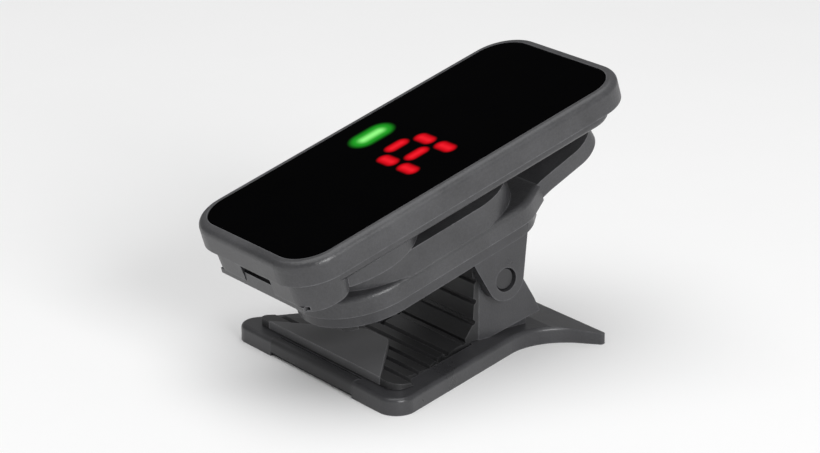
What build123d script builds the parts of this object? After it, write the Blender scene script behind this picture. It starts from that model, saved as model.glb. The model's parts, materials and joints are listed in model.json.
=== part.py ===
from build123d import *

import os
from math import cos, radians, sin

os.makedirs("parts", exist_ok=True)

# Clip-on tuner, in millimetres.
# Two working frames are used. The bench frame stands on the table with z = 0 at the table and
# x = 0 under the middle of the lens; the lower arm is drawn in it. The head frame has its origin
# in the middle of the lens's outer face, x along the head and z out of the lens; the head and
# the upper arm are drawn in it. It is tipped up towards the finger end by head_tilt.

# ---------- driving dimensions ----------
head_tilt = 17.3
lens_height = 29.1
middle_shift = -0.63
BENCH = Location((middle_shift, 0, 0))
HEAD = Location((middle_shift, 0, lens_height), (0, -head_tilt, 0))

head_length = 57.0
head_width = 27.4
head_corner = 6.0
rim_top = 0.0
bezel_bottom = -3.4
rim_round = 1.0

lens_length = 54.0
lens_width = 24.9
lens_corner = 4.7
lens_thick = 1.0
lens_gap = 0.05
ledge_thick = 0.6

wall = 1.0
slip = 0.12

board_length = 44.0
board_width = 20.0
board_thick = 0.8

battery_radius = 10.0
battery_thick = 3.2
battery_x = -14.8

arm_width = 19.6
flange_top = -11.2
flange_bottom = -14.0
plate_bottom = -15.7

pin_x = 9.62
pin_z = 10.76
pin_radius = 1.62
pin_bore = 1.68
pin_half_length = 8.55
ear_inner = 7.5
ear_outer = 9.0
ear_round = 3.0

front_x = -16.1
front_half = 19.6
waist_x = 16.4
waist_half = 6.9
tail_x = 23.4
tail_half = 14.7
plate_thick = 2.35
bar_depth = 2.7
pad_half_width = 7.35


def write(piece, name, place):
    """Put a finished piece into the row frame, label it and write its STEP."""
    piece.part.location = place
    piece.part.label = name
    export_step(piece.part, f"parts/{name}.step")


def to_head(x, z):
    """A bench-frame point as head-frame x and z."""
    turn = radians(head_tilt)
    drop = z - lens_height
    return x * cos(turn) + drop * sin(turn), drop * cos(turn) - x * sin(turn)


# ---------- head: bezel, lens and display ----------
lens_floor = -lens_thick
cavity_top = lens_floor - ledge_thick
cavity_width = head_width - 2 * 1.4
cavity_length = head_length - 2 * 1.4
button_z = -2.5
button_xs = (-17.0, 16.0)
button_width = 6.0
button_height = 1.5
screw_post_x = 24.4
screw_post_y = 8.4

with BuildPart() as front_bezel:
    with BuildSketch(Plane.XY.offset(bezel_bottom)):
        RectangleRounded(head_length, head_width, head_corner)
    extrude(amount=rim_top - bezel_bottom)
    fillet(front_bezel.faces().sort_by(Axis.Z)[-1].edges(), rim_round)
    with BuildSketch(Plane.XY.offset(rim_top)):
        RectangleRounded(lens_length + 2 * lens_gap, lens_width + 2 * lens_gap, lens_corner)
    extrude(amount=-(rim_top - lens_floor), mode=Mode.SUBTRACT)
    with BuildSketch(Plane.XY.offset(bezel_bottom)):
        RectangleRounded(cavity_length, cavity_width, head_corner - 1.4)
    extrude(amount=cavity_top - bezel_bottom, mode=Mode.SUBTRACT)
    with BuildSketch(Plane.XY.offset(cavity_top)):
        RectangleRounded(lens_length - 3.0, lens_width - 3.0, lens_corner - 1.5)
    extrude(amount=ledge_thick, mode=Mode.SUBTRACT)
    with BuildSketch(Plane.XY.offset(bezel_bottom)):
        with Locations((screw_post_x, screw_post_y), (screw_post_x, -screw_post_y)):
            Circle(1.7)
    extrude(amount=cavity_top - bezel_bottom)
    with BuildSketch(Plane.XY.offset(bezel_bottom)):
        with Locations((screw_post_x, screw_post_y), (screw_post_x, -screw_post_y)):
            Circle(0.6)
    extrude(amount=1.5, mode=Mode.SUBTRACT)
    with BuildSketch(Plane.XZ.offset(-head_width / 2)):
        with Locations(*[(x, button_z) for x in button_xs]):
            SlotOverall(button_width + 2 * slip, button_height + 2 * slip)
    extrude(amount=1.5, mode=Mode.SUBTRACT)

with BuildPart() as lens:
    with BuildSketch(Plane.XY.offset(lens_floor)):
        RectangleRounded(lens_length, lens_width, lens_corner)
    extrude(amount=lens_thick)
    chamfer(lens.faces().sort_by(Axis.Z)[-1].edges(), 0.12)

# seven-segment note digit and the row of tuning lamps, all behind the lens
digit_x = -0.85
digit_y = -2.95
digit_width = 6.35
digit_height = 8.9
segment_length = 3.4
segment_thick = 1.5
lamp_x = digit_x
lamp_y = 7.2
lamp_length = 5.2
lamp_thick = 2.0
side_lamp_gap = 9.0
display_top = cavity_top + 0.5
display_thick = 1.0
segment_places = {
    "a": (0, 1, 0),
    "g": (0, 0, 0),
    "d": (0, -1, 0),
    "f": (-1, 0.5, 90),
    "b": (1, 0.5, 90),
    "e": (-1, -0.5, 90),
    "c": (1, -0.5, 90),
}


def segment_centre(letter):
    """Middle of one digit segment and its turn."""
    across, up, turn = segment_places[letter]
    return digit_x + across * digit_width / 2, digit_y + up * digit_height / 2, turn


def segment_group(letters, name):
    """The bars of the digit that share one colour state, as separate solids in one node."""
    with BuildPart() as group:
        with BuildSketch(Plane.XY.offset(display_top)):
            for letter in letters:
                x, y, turn = segment_centre(letter)
                with Locations(Location((x, y), turn)):
                    SlotOverall(segment_length, segment_thick)
        extrude(amount=-display_thick)
    write(group, name, HEAD)


with BuildPart() as light_guide:
    with BuildSketch(Plane.XY.offset(display_top)):
        with Locations((digit_x, 0.4)):
            RectangleRounded(24.0, 18.4, 1.0)
    extrude(amount=-display_thick)
    with BuildSketch(Plane.XY.offset(display_top)):
        for mark in segment_places:
            centre_x, centre_y, angle = segment_centre(mark)
            with Locations(Location((centre_x, centre_y), angle)):
                SlotOverall(segment_length + 0.1, segment_thick + 0.1)
        with Locations((lamp_x, lamp_y)):
            SlotOverall(lamp_length + 0.1, lamp_thick + 0.1)
        with Locations((lamp_x - side_lamp_gap, lamp_y), (lamp_x + side_lamp_gap, lamp_y)):
            Circle(0.85)
    extrude(amount=-display_thick, mode=Mode.SUBTRACT)

with BuildPart() as green_lamp_window:
    with BuildSketch(Plane.XY.offset(display_top)):
        with Locations((lamp_x, lamp_y)):
            SlotOverall(lamp_length, lamp_thick)
    extrude(amount=-display_thick)

with BuildPart() as flat_sharp_windows:
    with BuildSketch(Plane.XY.offset(display_top)):
        with Locations((lamp_x - side_lamp_gap, lamp_y), (lamp_x + side_lamp_gap, lamp_y)):
            Circle(0.8)
    extrude(amount=-display_thick)

# ---------- head: electronics ----------
board_top = bezel_bottom + board_thick
with BuildPart() as circuit_board:
    with BuildSketch(Plane.XY.offset(bezel_bottom)):
        RectangleRounded(board_length, board_width, 1.5)
    extrude(amount=board_thick)

with BuildPart() as led_chips:
    with BuildSketch(Plane.XY.offset(board_top)):
        for mark in segment_places:
            centre_x, centre_y, angle = segment_centre(mark)
            with Locations(Location((centre_x, centre_y), angle)):
                Rectangle(1.4, 0.8)
        with Locations((lamp_x, lamp_y), (lamp_x - side_lamp_gap, lamp_y), (lamp_x + side_lamp_gap, lamp_y)):
            Rectangle(1.2, 0.8)
    extrude(amount=display_top - display_thick - board_top - 0.05)

with BuildPart() as tuner_chip:
    with BuildSketch(Plane.XY.offset(bezel_bottom)):
        with Locations((7.0, -5.5)):
            Rectangle(5.0, 5.0)
    extrude(amount=-0.8)
    with BuildSketch(Plane.XY.offset(bezel_bottom)):
        with Locations((7.0, -5.5)):
            with GridLocations(5.6, 1.0, 2, 5):
                Rectangle(0.6, 0.3)
    extrude(amount=-0.15)

switch_depth = 2.0
switch_face = 10.2
with BuildPart() as push_switches:
    with BuildSketch(Plane.XY.offset(board_top)):
        with Locations(*[(x, switch_face - switch_depth / 2 - 0.3) for x in button_xs]):
            Rectangle(4.0, switch_depth)
    extrude(amount=0.9)
    with BuildSketch(Plane.XZ.offset(-(switch_face - 0.3))):
        with Locations(*[(x, board_top + 0.45) for x in button_xs]):
            Rectangle(1.6, 0.5)
    extrude(amount=-0.5)

with BuildPart() as piezo_sensor:
    with BuildSketch(Plane.XY.offset(-4.75)):
        with Locations((15.5, 0)):
            Circle(5.0)
    extrude(amount=0.25)
    with BuildSketch(Plane.XY.offset(-4.5)):
        with Locations((15.5, 0)):
            Circle(3.6)
    extrude(amount=0.2)

battery_bottom = -7.1
battery_top = battery_bottom + battery_thick
with BuildPart() as coin_cell:
    with BuildSketch(Plane.XY.offset(battery_bottom)):
        with Locations((battery_x, 0)):
            Circle(battery_radius)
    extrude(amount=battery_thick - 0.4)
    with BuildSketch(Plane.XY.offset(battery_top - 0.4)):
        with Locations((battery_x, 0)):
            Circle(battery_radius - 1.4)
    extrude(amount=0.4)
    fillet(coin_cell.edges().filter_by(GeomType.CIRCLE).group_by(Axis.Z)[0], 0.4)

with BuildPart() as cell_contact_minus:
    with BuildSketch(Plane.XY.offset(bezel_bottom)):
        with Locations((battery_x, 0)):
            Rectangle(9.0, 4.0)
    extrude(amount=-0.25)
    with BuildSketch(Plane.XY.offset(bezel_bottom - 0.25)):
        with Locations((battery_x - 2.0, 0)):
            Rectangle(2.0, 3.0)
    extrude(amount=-(bezel_bottom - 0.25 - battery_top))

contact_x = battery_x + battery_radius + 0.02
with BuildPart() as cell_contact_plus:
    with BuildSketch(Plane.XY.offset(bezel_bottom)):
        with Locations((contact_x + 0.15, 0)):
            Rectangle(0.3, 6.0)
    extrude(amount=-2.9)

# ---------- head: rear case and battery cover ----------
case_length = 53.0
arm_screw_xs = (1.2, 8.0)
case_width = 23.4
case_bottom = -5.8
well_left = -27.4
well_block = 8.4
well_radius = 11.1
well_width = 24.0
well_bottom = -8.0
cover_top = -7.2
cover_half = 9.6
cover_tongue = 0.5
cover_left = -27.0
rail_right = well_left + 5.6
tab_width = 6.6
tab_height = 2.1



def cover_outline(left, half):
    """Plan of the battery cover: straight sides from its left end and a round right end."""
    with Locations(((left + battery_x) / 2, 0)):
        Rectangle(battery_x - left, 2 * half)
    with Locations((battery_x, 0)):
        Circle(half)


with BuildPart() as rear_case:
    with BuildSketch(Plane.XY.offset(bezel_bottom)):
        RectangleRounded(case_length, case_width, 4.4)
    extrude(amount=case_bottom - bezel_bottom)
    fillet(rear_case.faces().sort_by(Axis.Z)[0].edges(), 0.8)
    with BuildSketch(Plane.XY.offset(bezel_bottom)):
        with Locations((well_left + well_block / 2, 0)):
            RectangleRounded(well_block, well_width, 3.9)
    extrude(amount=well_bottom - bezel_bottom, taper=5)
    with BuildSketch(Plane.XY.offset(bezel_bottom)):
        with Locations((battery_x, 0)):
            Circle(well_radius)
    extrude(amount=well_bottom - bezel_bottom)
    with BuildSketch(Plane.XY.offset(bezel_bottom)):
        with Locations((12.2, 0)):
            RectangleRounded(18.0, case_width - 2 * wall, 3.4)
        with Locations((arm_screw_xs[1], 0)):
            Circle(1.6, mode=Mode.SUBTRACT)
    extrude(amount=-1.4, mode=Mode.SUBTRACT)
    with BuildSketch(Plane.XY.offset(bezel_bottom)):
        with Locations((battery_x, 0)):
            Circle(battery_radius + 0.15)
        with Locations((contact_x + 0.3, 0)):
            Rectangle(0.9, 7.0)
    extrude(amount=cover_top - bezel_bottom, mode=Mode.SUBTRACT)
    # mouth for the sliding cover, open at the end of the head, with a groove on each side
    with BuildSketch(Plane.XY.offset(cover_top)):
        cover_outline(well_left - 1, cover_half + slip)
    extrude(amount=well_bottom - 1 - cover_top, mode=Mode.SUBTRACT)
    with BuildSketch(Plane.XY.offset(cover_top)):
        with Locations(((well_left - 1 + rail_right) / 2, 0)):
            Rectangle(rail_right - well_left + 1, 2 * (cover_half + cover_tongue + slip))
    extrude(amount=-(0.4 + slip), mode=Mode.SUBTRACT)
    # finger notch in the end of the head, where the cover's tab stands
    with BuildSketch(Plane.YZ.offset(well_left - 1)):
        with Locations((0, -6.0)):
            Rectangle(tab_width + 2 * slip, 5.4)
    extrude(amount=2.7, mode=Mode.SUBTRACT)
    # clearance holes for the case screws, with a counterbore for each head
    with BuildSketch(Plane.XY.offset(case_bottom - 0.1)):
        with Locations((screw_post_x, screw_post_y), (screw_post_x, -screw_post_y)):
            Circle(0.9)
    extrude(amount=3.0, mode=Mode.SUBTRACT)
    with BuildSketch(Plane.XY.offset(case_bottom - 0.1)):
        with Locations((screw_post_x, screw_post_y), (screw_post_x, -screw_post_y)):
            Circle(1.5)
    extrude(amount=1.1, mode=Mode.SUBTRACT)
    # blind holes in the solid middle of the underside for the two arm screws
    with BuildSketch(Plane.XY.offset(case_bottom - 0.1)):
        with Locations(*[(x, 0) for x in arm_screw_xs]):
            Circle(0.8)
    extrude(amount=1.6, mode=Mode.SUBTRACT)

with BuildPart() as battery_cover:
    with BuildSketch(Plane.XY.offset(well_bottom)):
        cover_outline(cover_left, cover_half)
    extrude(amount=cover_top - well_bottom - slip / 2)
    with BuildSketch(Plane.XY.offset(cover_top - 0.4)):
        with Locations(((cover_left + rail_right) / 2 + 0.4, 0)):
            Rectangle(rail_right - cover_left - 1.4, 2 * (cover_half + cover_tongue))
    extrude(amount=0.4 - slip)
    with BuildSketch(Plane.XY.offset(well_bottom)):
        with Locations((cover_left + 0.5, 0)):
            Rectangle(1.0, tab_width)
    extrude(amount=tab_height)

for shell, title in (
    (front_bezel, "front_bezel"),
    (lens, "lens"),
    (light_guide, "light_guide"),
    (green_lamp_window, "green_lamp_window"),
    (flat_sharp_windows, "flat_sharp_windows"),
    (circuit_board, "circuit_board"),
    (led_chips, "led_chips"),
    (tuner_chip, "tuner_chip"),
    (push_switches, "push_switches"),
    (piezo_sensor, "piezo_sensor"),
    (coin_cell, "coin_cell"),
    (cell_contact_minus, "cell_contact_minus"),
    (cell_contact_plus, "cell_contact_plus"),
    (rear_case, "rear_case"),
    (battery_cover, "battery_cover"),
):
    write(shell, title, HEAD)
segment_group("abcefg", "lit_segments")
segment_group("d", "dark_segment")

# ---------- head: screws and buttons ----------


def add_screw(x, y, z, head_radius, shank_radius, length):
    """One screw pointing up into the head, with its head's underside at z."""
    with Locations((x, y, z)):
        Cylinder(head_radius, 0.8, align=(Align.CENTER, Align.CENTER, Align.MAX))
        Cylinder(shank_radius, length, align=(Align.CENTER, Align.CENTER, Align.MIN))
    with Locations((x, y, z - 0.8)):
        Box(1.3, 0.3, 0.3, align=(Align.CENTER, Align.CENTER, Align.MIN), mode=Mode.SUBTRACT)
        Box(0.3, 1.3, 0.3, align=(Align.CENTER, Align.CENTER, Align.MIN), mode=Mode.SUBTRACT)


with BuildPart() as case_screws:
    for side in (1, -1):
        add_screw(screw_post_x, side * screw_post_y, case_bottom + 1.0, 1.3, 0.6, 2.8)
write(case_screws, "case_screws", HEAD)

button_face = head_width / 2 + 0.5
button_inner = 10.9
button_flange = 11.5
for x, title in zip(button_xs, ("power_button", "calibration_button")):
    with BuildPart() as button:
        with BuildSketch(Plane.XZ.offset(-button_inner)):
            with Locations((x, button_z)):
                SlotOverall(button_width, button_height)
        extrude(amount=-(button_face - button_inner))
        fillet(button.faces().sort_by(Axis.Y)[-1].edges(), 0.25)
        with BuildSketch(Plane.XZ.offset(-button_flange)):
            with Locations((x, button_z)):
                Rectangle(button_width + 1.2, button_height)
        extrude(amount=-0.7)
    write(button, title, HEAD)

# ---------- upper arm ----------
nose_x = -12.5
flange_back = 9.5
neck_x = 14.0
neck_half = 7.0
lever_tip_half = 8.6
lever_angle = 15
lever_length = 14.2
lever_thick = 2.3
pedestal_top = well_bottom - 0.15
pedestal_x = -3.9
pedestal_length = 31.4


def arm_outline(inset, back):
    """Plan of the flange: a round nose, straight sides and a taper to the neck."""
    radius = arm_width / 2 - inset
    with Locations((nose_x, 0)):
        Circle(radius)
    Polygon(
        (nose_x, radius),
        (nose_x, -radius),
        (flange_back, -radius),
        (back, -(neck_half - inset)),
        (back, neck_half - inset),
        (flange_back, radius),
        align=None,
    )


def soften_shoulders(sketch):
    """Round the corners where the flange starts to taper."""
    shoulders = sketch.vertices().filter_by(lambda v: abs(v.X - flange_back) < 0.01)
    fillet(shoulders, 6.0)


lever_up = (-sin(radians(lever_angle)), 0, cos(radians(lever_angle)))
lever_plane = Plane(origin=(neck_x - 1.5, 0, flange_bottom), z_dir=lever_up)
with BuildPart() as upper_arm:
    with BuildSketch(Plane.XY.offset(flange_bottom)) as flange_plan:
        arm_outline(0, neck_x)
        soften_shoulders(flange_plan)
    extrude(amount=flange_top - flange_bottom)
    fillet(upper_arm.faces().sort_by(Axis.Z)[-1].edges(), 0.8)
    with BuildSketch(lever_plane) as paddle:
        Polygon(
            (0, neck_half),
            (3.0, neck_half),
            (lever_length, lever_tip_half),
            (lever_length, -lever_tip_half),
            (3.0, -neck_half),
            (0, -neck_half),
            align=None,
        )
        fillet(paddle.vertices().group_by(Axis.X)[1], 8.0)
        fillet(paddle.vertices().group_by(Axis.X)[-1], 5.0)
    extrude(amount=lever_thick)
    with BuildSketch(Plane.XY.offset(flange_top - 0.4)):
        with Locations((pedestal_x, 0)):
            SlotOverall(pedestal_length, arm_width - 0.3)
    extrude(amount=pedestal_top - flange_top + 0.4, taper=2)
    with BuildSketch(Plane.XY.offset(pedestal_top - 0.2)):
        with Locations((8.3, 0)):
            RectangleRounded(17.4, 12.4, 3.0)
    extrude(amount=case_bottom - pedestal_top + 0.2)
    with BuildSketch(Plane.XY.offset(flange_bottom)):
        with Locations(*[(x, 0) for x in arm_screw_xs]):
            Circle(0.8)
    extrude(amount=case_bottom - flange_bottom, mode=Mode.SUBTRACT)
write(upper_arm, "upper_arm", HEAD)

ear_pin = to_head(pin_x, pin_z)
with BuildPart() as arm_base:
    with BuildSketch(Plane.XY.offset(plate_bottom)) as base_plan:
        arm_outline(0.5, 12.6)
        soften_shoulders(base_plan)
    extrude(amount=flange_bottom - plate_bottom)
    with BuildSketch(Plane.XZ.offset(ear_inner)):
        with BuildLine():
            ear_lip = Polyline(
                (-0.8, flange_bottom - 0.6),
                (ear_pin[0] - ear_round * 0.98, ear_pin[1] + 0.6),
            )
        make_hull(
            [
                *ear_lip.edges(),
                Edge.make_circle(ear_round, Plane((*ear_pin, 0))),
                Edge.make_line((9.4, flange_bottom - 0.6), (-0.8, flange_bottom - 0.6)),
            ]
        )
    extrude(amount=ear_outer - ear_inner)
    mirror(about=Plane.XZ)
    with Locations(Location((ear_pin[0], 0, ear_pin[1]), (90, 0, 0))):
        Cylinder(pin_bore, 2 * ear_outer + 1, mode=Mode.SUBTRACT)
write(arm_base, "arm_base", HEAD)

# rubber pad under the arm's nose, with cross ribs
rib_pitch = 2.0
rib_count = 7
upper_pad_thick = 0.8
with BuildPart() as upper_pad:
    with BuildSketch(Plane.XY.offset(plate_bottom)):
        with Locations((-12.0, 0)):
            RectangleRounded(15.6, 12.8, 2.0)
    extrude(amount=-upper_pad_thick)
    with BuildSketch(Plane.XY.offset(plate_bottom - upper_pad_thick)):
        with Locations((-12.0, 0)):
            with GridLocations(rib_pitch, 0, rib_count, 1):
                Rectangle(0.7, 14.0)
    extrude(amount=0.35, mode=Mode.SUBTRACT)
write(upper_pad, "upper_pad", HEAD)

with BuildPart() as arm_screws:
    for screw_x in arm_screw_xs:
        add_screw(screw_x, 0, flange_bottom + 0.8, 0.8, 0.8, case_bottom + 1.4 - flange_bottom - 0.8)
write(arm_screws, "arm_screws", HEAD)

# ---------- lower arm ----------
front_corner = 2.6
waist_round = 9.0
tail_corner = 0.6
tail_tip = 1.3
window_front = front_x + bar_depth
window_back = 4.8
window_front_half = 14.8
window_back_half = 8.0
carrier_thick = 0.8
wall_front = 6.3
wall_back = 7.2
wall_top = 14.5
ear_half = 5.9
inset_back = 15.5
inset_top = 4.2
strip_half = 9.5
strip_thick = 0.5
strip_depth = 1.75


def both_sides(points):
    """A symmetric outline from the points on its +y side."""
    return [*points, *[(x, -y) for x, y in reversed(points)]]


with BuildPart() as lower_arm:
    # flat plate: a wide front, a narrow waist under the pin and a flared tail
    with BuildSketch() as plan:
        Polygon(
            *both_sides([(front_x, front_half), (waist_x, waist_half), (tail_x, tail_half)]),
            align=None,
        )
        fillet(plan.vertices().group_by(Axis.X)[1], waist_round)
        fillet(plan.vertices().group_by(Axis.X)[0], front_corner)
        fillet(plan.vertices().group_by(Axis.X)[-1], tail_corner)
    extrude(amount=plate_thick)
    fillet(lower_arm.faces().sort_by(Axis.Z)[-1].edges(), 0.6)
    # the tail thins towards its tip
    with BuildSketch(Plane.XZ.offset(-tail_half - 1)):
        Polygon((tail_x - 6, plate_thick), (tail_x + 1, tail_tip), (tail_x + 1, plate_thick), align=None)
    extrude(amount=2 * tail_half + 2, mode=Mode.SUBTRACT)
    # window that leaves the front bar and the two side bars
    with BuildSketch():
        Polygon(
            *both_sides([(window_front, window_front_half), (window_back, window_back_half)]),
            align=None,
        )
    extrude(amount=plate_thick, mode=Mode.SUBTRACT)
    # seat for the rubber strip on the front bar
    with BuildSketch(Plane.XZ.offset(-strip_half)):
        with Locations((front_x, plate_thick)):
            Rectangle(2 * strip_thick, 2 * plate_thick + 1)
            Rectangle(2 * strip_depth, 2 * strip_thick)
    extrude(amount=2 * strip_half, mode=Mode.SUBTRACT)
    # thin floor under the pad, and the wall that backs it
    with BuildSketch():
        Polygon(
            *both_sides(
                [
                    (window_front - 0.2, window_front_half + 0.1),
                    (-6.0, 12.2),
                    (-1.7, 8.6),
                    (0.5, pad_half_width),
                    (wall_back, pad_half_width),
                ]
            ),
            align=None,
        )
    extrude(amount=carrier_thick)
    with Locations(((wall_front + wall_back) / 2, 0, 0)):
        Box(
            wall_back - wall_front,
            2 * pad_half_width,
            wall_top,
            align=(Align.CENTER, Align.CENTER, Align.MIN),
        )
    # block between the ears, set in under them
    with Locations(((wall_front + inset_back) / 2, 0, 0)):
        Box(
            inset_back - wall_front,
            2 * ear_half,
            inset_top,
            align=(Align.CENTER, Align.CENTER, Align.MIN),
        )
    # ears for the hinge pin
    with BuildSketch(Plane.XZ.offset(ear_half)):
        make_hull(
            [
                Edge.make_circle(ear_round, Plane((pin_x, pin_z, 0))),
                Edge.make_line((15.8, 6.4), (16.8, 4.4)),
                Edge.make_line((wall_front, 1.9), (wall_front, 8.6)),
            ]
        )
    extrude(amount=pad_half_width - ear_half)
    mirror(about=Plane.XZ)
    with Locations(Location((pin_x, 0, pin_z), (90, 0, 0))):
        Cylinder(pin_radius, 30, mode=Mode.SUBTRACT)
write(lower_arm, "lower_arm", BENCH)

# smooth tongue plate, level with the lip at the front of the throat
tongue_front = -14.0
tongue_bottom = 2.45
tongue_top = 3.55
tongue_plan = both_sides([(tongue_front, 12.9), (-5.0, 2.4)])
with BuildPart() as tongue_plate:
    with BuildSketch(Plane.XY.offset(tongue_bottom)):
        Polygon(*tongue_plan, align=None)
    extrude(amount=tongue_top - tongue_bottom)
    fillet(tongue_plate.edges().filter_by(Axis.Z).group_by(Axis.X)[-1], 1.5)
write(tongue_plate, "tongue_plate", BENCH)

# rubber pad: a ramp down from the lip, a round bend and a wall, all ribbed across
lip_top = 3.4
lip_bottom = 2.45
bend_x = 0.9
bend_z = 6.2
bend_radius = 4.5
pad_wall_x = bend_x + bend_radius
pad_top = 13.4
tooth_count = 10
tooth_step = 0.45
with BuildLine() as pad_path:
    Line((tongue_front, lip_top), (bend_x, bend_z - bend_radius))
    CenterArc((bend_x, bend_z), bend_radius, -90, 90)
    Line((pad_wall_x, bend_z), (pad_wall_x, 10.6))
    Line((pad_wall_x, 10.6), (pad_wall_x - 0.5, pad_top))
pad_surface = pad_path.wire()


def on_pad(part_way, depth):
    """A point part of the way along the pad's surface, sunk below it by depth."""
    point = pad_surface @ part_way
    along = pad_surface % part_way
    return point.X + depth * along.Y, point.Y - depth * along.X


with BuildPart() as lower_pad:
    with BuildSketch(Plane.XZ.offset(-front_half)):
        teeth = [(tongue_front, lip_top)]
        for tooth in range(1, tooth_count):
            start = tooth / tooth_count
            teeth.append(on_pad(start, 0.1))
            teeth.append(on_pad(start + 0.008, tooth_step))
            teeth.append(on_pad(start + 0.022, tooth_step))
            teeth.append(on_pad(start + 0.03, 0))
        Polygon(
            *teeth,
            (pad_wall_x - 0.5, pad_top),
            (wall_front, pad_top),
            (wall_front, carrier_thick),
            (window_front, carrier_thick),
            (window_front, lip_bottom),
            (tongue_front, lip_bottom),
            align=None,
        )
    extrude(amount=2 * front_half)
    with BuildSketch():
        pad_plan = Polygon(
            *both_sides(
                [
                    (tongue_front, 16.2),
                    (-10.6, 15.6),
                    (-9.8, 13.4),
                    (-5.5, 11.8),
                    (-1.7, 8.8),
                    (0.3, pad_half_width),
                    (wall_front, pad_half_width),
                ]
            ),
            align=None,
        )
        fillet(pad_plan.vertices().group_by(Axis.X)[0], 1.8)
    extrude(amount=pad_top, mode=Mode.INTERSECT)
    # seats over the bars and for the tongue plate
    with BuildSketch():
        Polygon(
            *both_sides([(tongue_front - 1, front_half), (wall_back, front_half)]),
            align=None,
        )
        Polygon(
            *both_sides([(window_front, window_front_half), (window_back, window_back_half)]),
            align=None,
            mode=Mode.SUBTRACT,
        )
    extrude(amount=lip_bottom, mode=Mode.SUBTRACT)
    with BuildSketch(Plane.XY.offset(tongue_bottom)):
        seat = Polygon(*tongue_plan, align=None)
        fillet(seat.vertices().group_by(Axis.X)[-1], 1.5)
    extrude(amount=2.0, mode=Mode.SUBTRACT)
write(lower_pad, "lower_pad", BENCH)

# rubber strip along the middle of the front bar
with BuildPart() as front_strip:
    with BuildSketch(Plane.XZ.offset(-strip_half)):
        with BuildLine():
            strip_back = front_x + strip_depth
            Polyline(
                (front_x + strip_thick, 0.2),
                (front_x, 0.6),
                (front_x, plate_thick - 0.7),
            )
            RadiusArc((front_x, plate_thick - 0.7), (front_x + 0.8, plate_thick + 0.1), 0.8)
            Polyline(
                (front_x + 0.8, plate_thick + 0.1),
                (strip_back - 0.4, plate_thick + 0.1),
                (strip_back, plate_thick - strip_thick),
                (front_x + strip_thick, plate_thick - strip_thick),
                (front_x + strip_thick, 0.2),
            )
        make_face()
    extrude(amount=2 * strip_half)
write(front_strip, "front_strip", BENCH)

# ---------- hinge pin and torsion spring ----------
pin_neck_radius = 1.0
pin_neck_half = 5.4
with BuildPart() as hinge_pin:
    with Locations(Location((pin_x, 0, pin_z), (90, 0, 0))):
        Cylinder(pin_radius, 2 * pin_half_length)
    chamfer(hinge_pin.edges().filter_by(GeomType.CIRCLE), 0.25)
    with BuildSketch(Plane.XZ.offset(-pin_neck_half)):
        with Locations((pin_x, pin_z)):
            Circle(pin_radius + 1)
            Circle(pin_neck_radius, mode=Mode.SUBTRACT)
    extrude(amount=2 * pin_neck_half, mode=Mode.SUBTRACT)
write(hinge_pin, "hinge_pin", BENCH)

wire_radius = 0.3
coil_radius = 1.45
coil_pitch = 0.8
coil_length = 8.0
leg_up = 3.0
leg_back = 2.0
with BuildPart() as torsion_spring:
    with BuildLine():
        coil = Helix(
            coil_pitch,
            coil_length,
            coil_radius,
            center=(pin_x, -coil_length / 2, pin_z),
            direction=(0, 1, 0),
        )
    with BuildSketch(Plane(origin=coil @ 0, z_dir=coil % 0)):
        Circle(wire_radius)
    sweep()
    with BuildSketch(Plane.XY.offset(pin_z + coil_radius)):
        with Locations((pin_x, coil_length / 2)):
            Circle(wire_radius)
    extrude(amount=leg_up)
    with BuildSketch(Plane.YZ.offset(pin_x)):
        with Locations((-coil_length / 2, pin_z + coil_radius)):
            Circle(wire_radius)
    extrude(amount=-leg_back)
write(torsion_spring, "torsion_spring", BENCH)
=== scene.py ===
import json
from math import cos, radians, sin

import bpy
from mathutils import Matrix, Vector

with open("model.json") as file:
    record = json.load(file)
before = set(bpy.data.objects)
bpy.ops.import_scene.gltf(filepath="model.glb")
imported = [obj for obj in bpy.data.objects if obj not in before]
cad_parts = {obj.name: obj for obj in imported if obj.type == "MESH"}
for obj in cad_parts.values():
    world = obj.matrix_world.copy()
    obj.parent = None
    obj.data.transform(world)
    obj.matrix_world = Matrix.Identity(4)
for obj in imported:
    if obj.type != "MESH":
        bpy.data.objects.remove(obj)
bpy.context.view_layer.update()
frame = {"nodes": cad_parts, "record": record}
nodes = frame["nodes"]

# ---------- the head's own frame, as in the CAD model, in metres ----------
MM = 0.001
HEAD_TILT = radians(17.3)
LENS_CENTRE = Vector((-0.63 * MM, 0, 29.1 * MM))
HEAD_X = Vector((cos(HEAD_TILT), 0, sin(HEAD_TILT)))
HEAD_Y = Vector((0, 1, 0))
HEAD_Z = Vector((-sin(HEAD_TILT), 0, cos(HEAD_TILT)))


def head_point(x, y, z):
    """A point of the head's frame, in millimetres, as a point of the row frame in metres."""
    return LENS_CENTRE + (HEAD_X * x + HEAD_Y * y + HEAD_Z * z) * MM


def head_direction(x, y, z):
    """A direction of the head's frame in the row frame."""
    return HEAD_X * x + HEAD_Y * y + HEAD_Z * z


# ---------- camera: angles and place in the head's frame, in millimetres ----------
CAMERA_AZIMUTH = radians(-29.944)
CAMERA_ELEVATION = radians(28.208)
CAMERA_ROLL = radians(-15.793)
CAMERA_DISTANCE = 396.79
CAMERA_SHIFT = (-0.231, 10.743)
CAMERA_LENS = 131.71


def camera_axes():
    """Right, up and back directions of the camera in the head's frame."""
    back = Vector(
        (
            sin(CAMERA_AZIMUTH) * cos(CAMERA_ELEVATION),
            -cos(CAMERA_AZIMUTH) * cos(CAMERA_ELEVATION),
            sin(CAMERA_ELEVATION),
        )
    )
    right = Vector((0, 0, 1)).cross(back).normalized()
    up = back.cross(right)
    turned_right = right * cos(CAMERA_ROLL) + up * sin(CAMERA_ROLL)
    turned_up = up * cos(CAMERA_ROLL) - right * sin(CAMERA_ROLL)
    return turned_right, turned_up, back


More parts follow.
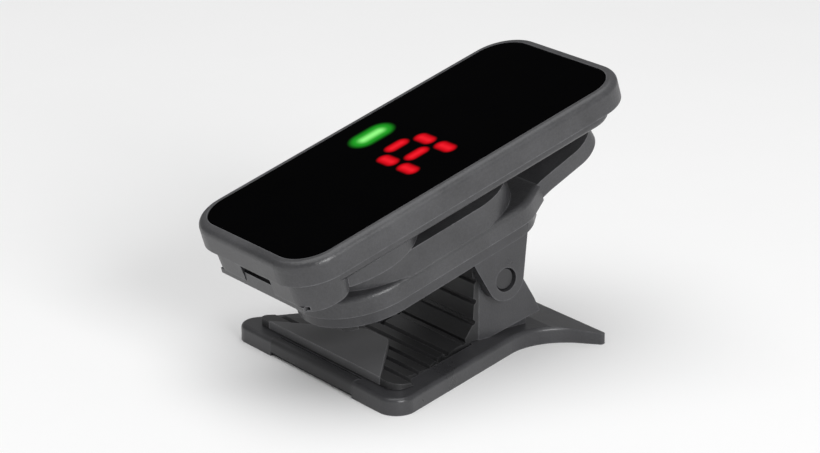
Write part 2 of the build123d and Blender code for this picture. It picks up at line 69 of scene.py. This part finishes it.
def make_camera():
    right, up, back = camera_axes()
    place = back * CAMERA_DISTANCE - right * CAMERA_SHIFT[0] - up * CAMERA_SHIFT[1]
    data = bpy.data.cameras.new("camera")
    data.lens = CAMERA_LENS
    data.sensor_width = 36
    data.clip_start = 0.01
    data.clip_end = 20
    camera = bpy.data.objects.new("camera", data)
    bpy.context.scene.collection.objects.link(camera)
    columns = [head_direction(*axis) for axis in (right, up, back)]
    turn = Matrix((columns[0], columns[1], columns[2])).transposed().to_4x4()
    camera.matrix_world = Matrix.Translation(head_point(*place)) @ turn
    bpy.context.scene.camera = camera


make_camera()

# ---------- node helpers ----------


def add(tree, kind, *values, **settings):
    """A node whose first inputs are the given values or sockets, and whose settings are set."""
    node = tree.nodes.new(kind)
    for key, value in settings.items():
        setattr(node, key, value)
    for socket, value in zip(node.inputs, values):
        put(tree, socket, value)
    return node


def put(tree, socket, value):
    """Link a socket or set a constant."""
    if isinstance(value, bpy.types.NodeSocket):
        tree.links.new(value, socket)
    elif value is not None:
        socket.default_value = value


def number(tree, operation, *values):
    return add(tree, "ShaderNodeMath", *values, operation=operation).outputs[0]


def noise(tree, coords, scale, detail=3.0, roughness=0.55):
    node = tree.nodes.new("ShaderNodeTexNoise")
    tree.links.new(coords, node.inputs["Vector"])
    node.inputs["Scale"].default_value = scale
    node.inputs["Detail"].default_value = detail
    node.inputs["Roughness"].default_value = roughness
    return node.outputs[0]


def remap(tree, value, low, high, to_low, to_high, smooth=False):
    node = tree.nodes.new("ShaderNodeMapRange")
    node.interpolation_type = "SMOOTHSTEP" if smooth else "LINEAR"
    for key, item in (
        ("Value", value),
        ("From Min", low),
        ("From Max", high),
        ("To Min", to_low),
        ("To Max", to_high),
    ):
        put(tree, node.inputs[key], item)
    return node.outputs[0]


def blend(tree, factor, first, second):
    """Mix two colours."""
    node = tree.nodes.new("ShaderNodeMix")
    node.data_type = "RGBA"
    put(tree, node.inputs[0], factor)
    put(tree, node.inputs[6], first)
    put(tree, node.inputs[7], second)
    return node.outputs[2]


def shade(colour, factor):
    return (*[min(1.0, part * factor) for part in colour], 1)


# ---------- materials ----------
# Each finish: base colour, roughness, metallic, grains per metre, bump height in metres,
# how far the colour and the roughness wander, and how much lighter the edges are painted, partly as
# wear and partly as a painted highlight.
FINISHES = {
    "body_plastic": ((0.052, 0.052, 0.055), 0.36, 0, 3400, 3.4e-5, 0.32, 0.07, 2.6),
    "arm_plastic": ((0.042, 0.042, 0.045), 0.32, 0, 3800, 1.8e-5, 0.28, 0.07, 2.4),
    "tongue_plastic": ((0.110, 0.110, 0.114), 0.42, 0, 6000, 6e-6, 0.10, 0.05, 1.8),
    "guide_plastic": ((0.020, 0.020, 0.020), 0.55, 0, 6000, 5e-6, 0.15, 0.06, 1.5),
    "button_plastic": ((0.042, 0.043, 0.046), 0.38, 0, 7000, 4e-6, 0.12, 0.06, 2.2),
    "pad_rubber": ((0.020, 0.020, 0.021), 0.50, 0, 4200, 9e-6, 0.30, 0.08, 3.0),
    "strip_rubber": ((0.030, 0.030, 0.032), 0.46, 0, 4800, 7e-6, 0.22, 0.08, 2.2),
    "lamp_green": ((0.080, 0.420, 0.100), 0.25, 0, 3000, 2e-6, 0.10, 0.04, 1.2),
    "lamp_off": ((0.055, 0.030, 0.030), 0.28, 0, 3000, 2e-6, 0.10, 0.04, 1.2),
    "segment_red": ((0.620, 0.020, 0.030), 0.25, 0, 3000, 2e-6, 0.10, 0.04, 1.2),
    "board": ((0.015, 0.110, 0.050), 0.35, 0, 900, 8e-6, 0.35, 0.08, 1.3),
    "led_package": ((0.720, 0.690, 0.560), 0.35, 0, 4000, 3e-6, 0.10, 0.05, 1.1),
    "chip_black": ((0.024, 0.024, 0.025), 0.55, 0, 9000, 5e-6, 0.12, 0.05, 1.5),
    "switch_metal": ((0.560, 0.560, 0.560), 0.34, 1, 6000, 3e-6, 0.10, 0.08, 1.2),
    "brass": ((0.640, 0.460, 0.180), 0.33, 1, 5000, 3e-6, 0.14, 0.10, 1.2),
    "cell_steel": ((0.600, 0.600, 0.610), 0.27, 1, 7000, 2e-6, 0.08, 0.08, 1.1),
    "contact_metal": ((0.560, 0.540, 0.500), 0.30, 1, 6000, 2e-6, 0.10, 0.08, 1.2),
    "screw_steel": ((0.300, 0.300, 0.310), 0.36, 1, 6000, 4e-6, 0.18, 0.10, 1.4),
    "pin_steel": ((0.030, 0.030, 0.032), 0.40, 0, 7000, 4e-6, 0.20, 0.10, 2.4),
    "spring_steel": ((0.420, 0.420, 0.420), 0.30, 1, 8000, 3e-6, 0.14, 0.10, 1.3),
}
PATCH_SCALE = 140
EDGE_RADIUS = 0.00035
EDGE_SHARPNESS = 0.14
EDGE_POLISH = 0.06
EDGE_PATCH_SCALE = 900
FINE_SHARE = 0.5


def edge_wear_and_highlight(tree, coords):
    """Mask of edges lightened as wear and as a painted highlight: 1 on outer edges, broken up by noise,
    and 0 on flat faces.
    """
    rounded = tree.nodes.new("ShaderNodeBevel")
    rounded.samples = 6
    rounded.inputs["Radius"].default_value = EDGE_RADIUS
    normal = tree.nodes.new("ShaderNodeNewGeometry").outputs["Normal"]
    match = add(
        tree, "ShaderNodeVectorMath", rounded.outputs[0], normal, operation="DOT_PRODUCT"
    ).outputs["Value"]
    turned = remap(tree, number(tree, "SUBTRACT", 1.0, match), 0.01, EDGE_SHARPNESS, 0, 1)
    patches = remap(tree, noise(tree, coords, EDGE_PATCH_SCALE, 4), 0.38, 0.62, 0.35, 1)
    return number(tree, "MULTIPLY", turned, patches)


def make_finish(slot):
    """A moulded, rubber or metal surface: grain, mottling, uneven gloss, and worn edges lightened with
    a painted highlight.
    """
    colour, roughness, metallic, grain, height, wander, gloss_wander, wear_and_highlight = FINISHES[slot]
    material = bpy.data.materials.new(slot)
    material.use_nodes = True
    tree = material.node_tree
    shader = tree.nodes["Principled BSDF"]
    coords = tree.nodes.new("ShaderNodeTexCoord").outputs["Object"]
    broad = noise(tree, coords, PATCH_SCALE, 5)
    fine = noise(tree, coords, grain, 2)
    speckle = number(tree, "ADD", broad, number(tree, "MULTIPLY", fine, FINE_SHARE))
    mottled = blend(
        tree,
        remap(tree, speckle, 0.45, 1.05, 0, 1),
        shade(colour, 1 - wander),
        shade(colour, 1 + wander),
    )
    edge = edge_wear_and_highlight(tree, coords)
    # outer edges lightened in the base colour: partly wear, partly a painted highlight
    tree.links.new(blend(tree, edge, mottled, shade(colour, wear_and_highlight)), shader.inputs["Base Color"])
    uneven = remap(tree, broad, 0.3, 0.7, roughness - gloss_wander, roughness + gloss_wander)
    tree.links.new(
        number(tree, "SUBTRACT", uneven, number(tree, "MULTIPLY", edge, EDGE_POLISH)),
        shader.inputs["Roughness"],
    )
    shader.inputs["Metallic"].default_value = metallic
    bump = tree.nodes.new("ShaderNodeBump")
    bump.inputs["Distance"].default_value = height
    tree.links.new(fine, bump.inputs["Height"])
    tree.links.new(bump.outputs[0], shader.inputs["Normal"])
    return material


# ---------- lit display, seen through the window ----------
DIGIT = (-0.85, -2.95)
DIGIT_SIZE = (6.35, 8.9)
SEGMENT_HALF = 0.85
SEGMENT_RADIUS = 0.62
SEGMENT_GLOW = 0.62
RED = (0.62, 0.002, 0.008)
RED_CORE = (0.90, 0.012, 0.024)
GREEN = (0.015, 0.34, 0.018)
GREEN_CORE = (0.30, 1.0, 0.24)
LAMP_X = DIGIT[0]
LAMP_Y = 7.2
LAMP_HALF = 1.35
LAMP_RADIUS = 1.15
LAMP_GLOW = 1.3
WINDOW_SHADES = ((0.0004, 0.0004, 0.0005, 1), (0.0010, 0.0010, 0.0012, 1))
WINDOW_IOR = 1.04
# segment: place across and up in half digit sizes, and whether it stands upright
LIT_SEGMENTS = (
    (0, 1, False),
    (0, 0, False),
    (-1, 0.5, True),
    (1, 0.5, True),
    (-1, -0.5, True),
    (1, -0.5, True),
)


def lamp_glow(tree, coords, place, centre, upright, half, radius, spread):
    """Soft bar of light in the lens's own coordinates: 1 in the bar, fading out round it."""
    to_object = place.inverted()
    middle = to_object @ head_point(*centre, 0)
    along = (to_object.to_3x3() @ (HEAD_Y if upright else HEAD_X)).normalized()
    across = (to_object.to_3x3() @ (HEAD_X if upright else HEAD_Y)).normalized()
    offset = add(
        tree, "ShaderNodeVectorMath", coords, tuple(middle), operation="SUBTRACT"
    ).outputs[0]
    parts = [
        add(tree, "ShaderNodeVectorMath", offset, tuple(axis), operation="DOT_PRODUCT").outputs["Value"]
        for axis in (along, across)
    ]
    past_end = number(
        tree, "MAXIMUM", number(tree, "SUBTRACT", number(tree, "ABSOLUTE", parts[0]), half * MM), 0.0
    )
    distance = number(
        tree,
        "SQRT",
        number(
            tree,
            "ADD",
            number(tree, "MULTIPLY", past_end, past_end),
            number(tree, "MULTIPLY", parts[1], parts[1]),
        ),
    )
    glow = remap(tree, distance, radius * MM, (radius + spread) * MM, 1, 0, smooth=True)
    core = remap(tree, distance, 0, (radius + 0.15) * MM, 1, 0, smooth=True)
    return glow, core


def make_window(name, place):
    """Near-black polished window with the lit digit and lamp glowing through it."""
    material = bpy.data.materials.new(name)
    material.use_nodes = True
    tree = material.node_tree
    shader = tree.nodes["Principled BSDF"]
    coords = tree.nodes.new("ShaderNodeTexCoord").outputs["Object"]
    haze = noise(tree, coords, 90, 6, 0.7)
    tree.links.new(
        blend(tree, haze, *WINDOW_SHADES),
        shader.inputs["Base Color"],
    )
    tree.links.new(remap(tree, haze, 0.3, 0.7, 0.05, 0.11), shader.inputs["Roughness"])
    shader.inputs["IOR"].default_value = WINDOW_IOR
    light = (0, 0, 0, 1)
    lamps = [((LAMP_X, LAMP_Y), False, LAMP_HALF, LAMP_RADIUS, LAMP_GLOW, GREEN, GREEN_CORE)]
    for across, up, upright in LIT_SEGMENTS:
        centre = (DIGIT[0] + across * DIGIT_SIZE[0] / 2, DIGIT[1] + up * DIGIT_SIZE[1] / 2)
        lamps.append(
            (centre, upright, SEGMENT_HALF, SEGMENT_RADIUS, SEGMENT_GLOW, RED, RED_CORE)
        )
    for centre, upright, half, radius, spread, rim, core_colour in lamps:
        glow, core = lamp_glow(tree, coords, place, centre, upright, half, radius, spread)
        light = blend(tree, glow, light, (*rim, 1))
        light = blend(tree, core, light, (*core_colour, 1))
    tree.links.new(light, shader.inputs["Emission Color"])
    shader.inputs["Emission Strength"].default_value = 1.0
    return material


finishes = {slot: make_finish(slot) for slot in FINISHES}
finishes["lens_black"] = make_window("lens_black", nodes["lens"].matrix_world.copy())
for entry in frame["record"]["subparts"]:
    mesh = nodes[entry["node"]].data
    mesh.materials.clear()
    mesh.materials.append(finishes[entry["material_slot"]])

# ---------- floor and light, in metres and watts ----------
FLOOR_SIZE = 8
FLOOR_SHADES = ((0.93, 0.93, 0.93, 1), (0.95, 0.95, 0.95, 1))
AIM = Vector((0, 0, 0.02))
LIGHTS = (
    ("key", (-0.10, -0.95, 0.42), 0.45, 7.6),
    ("top", (-0.10, 0.05, 0.95), 1.1, 7.2),
)
WORLD_STRENGTH = 0.22


def make_floor():
    bpy.ops.mesh.primitive_plane_add(size=FLOOR_SIZE, location=(0, 0, 0))
    floor = bpy.context.object
    floor.name = "floor"
    material = bpy.data.materials.new("floor_pale")
    material.use_nodes = True
    tree = material.node_tree
    shader = tree.nodes["Principled BSDF"]
    coords = tree.nodes.new("ShaderNodeTexCoord").outputs["Object"]
    tree.links.new(
        blend(tree, noise(tree, coords, 30, 3), *FLOOR_SHADES),
        shader.inputs["Base Color"],
    )
    shader.inputs["Roughness"].default_value = 0.7
    shader.inputs["Specular IOR Level"].default_value = 0.1
    floor.data.materials.append(material)


def add_light(name, place, size, power):
    data = bpy.data.lights.new(name, "AREA")
    data.size = size
    data.energy = power
    light = bpy.data.objects.new(name, data)
    bpy.context.scene.collection.objects.link(light)
    light.location = place
    light.rotation_euler = (AIM - Vector(place)).to_track_quat("-Z", "Y").to_euler()


make_floor()
for name, place, size, power in LIGHTS:
    add_light(name, place, size, power)
world = bpy.data.worlds.new("world")
bpy.context.scene.world = world
world.use_nodes = True
world.node_tree.nodes["Background"].inputs["Color"].default_value = (1, 1, 1, 1)
world.node_tree.nodes["Background"].inputs["Strength"].default_value = WORLD_STRENGTH
bpy.context.scene.view_settings.view_transform = "Standard"
